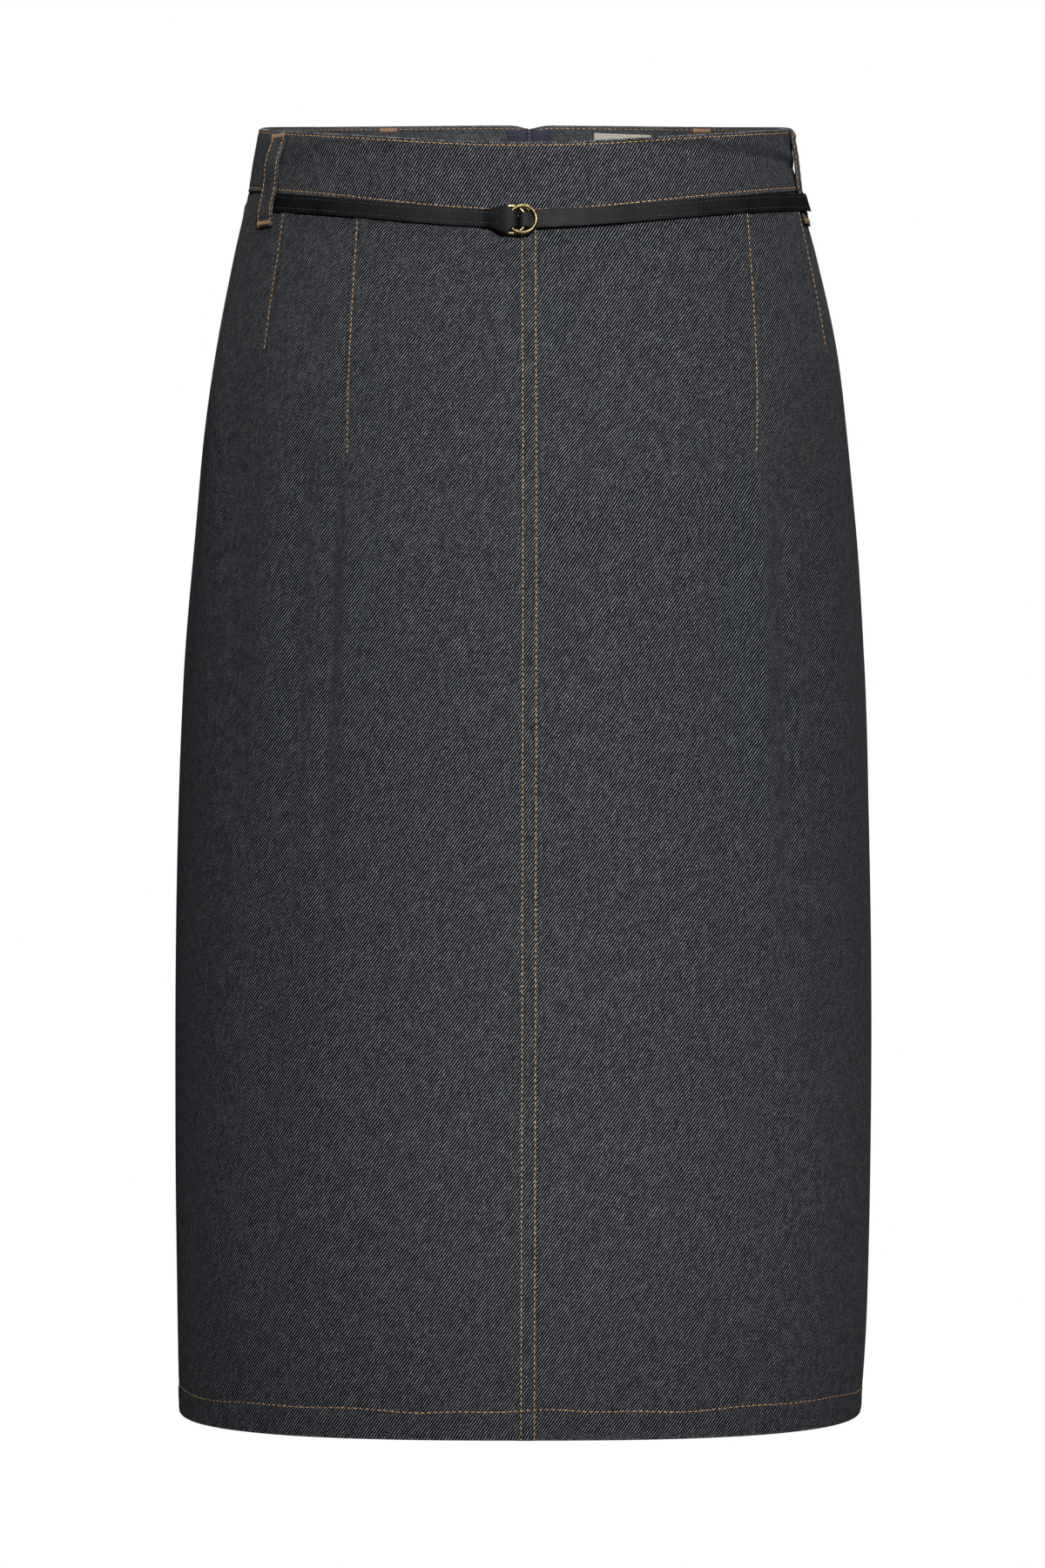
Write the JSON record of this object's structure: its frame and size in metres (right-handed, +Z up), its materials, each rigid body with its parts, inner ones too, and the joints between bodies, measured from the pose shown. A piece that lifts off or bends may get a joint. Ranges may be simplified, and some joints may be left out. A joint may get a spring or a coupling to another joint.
{
  "type": "denim skirt",
  "caption": "Straight midi denim skirt, filled out as worn: darted panels, waistband with loops, back zip, and a thin leather belt with paired rings at the front.",
  "frame": {"origin": "middle of the waist, at the waistband's mid height at the sides, where the wearer's waist holds the skirt", "axes": "+Z up, -Y the front, +X the right-hand side seen from the front"},
  "size_m": [0.3736, 0.2673, 0.7063],
  "materials": {
    "denim": "raw dark indigo twill, matt",
    "leather": "black leather, soft sheen",
    "brass": "antiqued brass",
    "tape": "woven navy tape",
    "slider": "antiqued brass",
    "label": "plain woven beige"
  },
  "bodies": {
    "skirt": {"panel_front_left": "denim", "panel_front_right": "denim", "panel_back_right": "denim", "panel_back_left": "denim", "waistband_front": "denim", "waistband_back_right": "denim", "waistband_back_left": "denim", "loop_front_left": "denim", "loop_front_right": "denim", "loop_back_left": "denim", "loop_back_right": "denim", "belt_strap_left": "leather", "belt_strap_right": "leather", "belt_ring_left": "brass", "belt_ring_right": "brass", "zip_tape_left": "tape", "zip_tape_right": "tape", "zip_slider": "slider", "label": "label"},
    "zip_pull": {"zip_pull_tab": "slider"}
  },
  "joints": [
    {"name": "zip_pull_swing", "type": "hinge", "parent": "skirt", "child": "zip_pull", "pos_m": [0.004, 0.1064, 0.015], "axis": [1, 0, 0], "range_deg": [0, 150]}
  ]
}
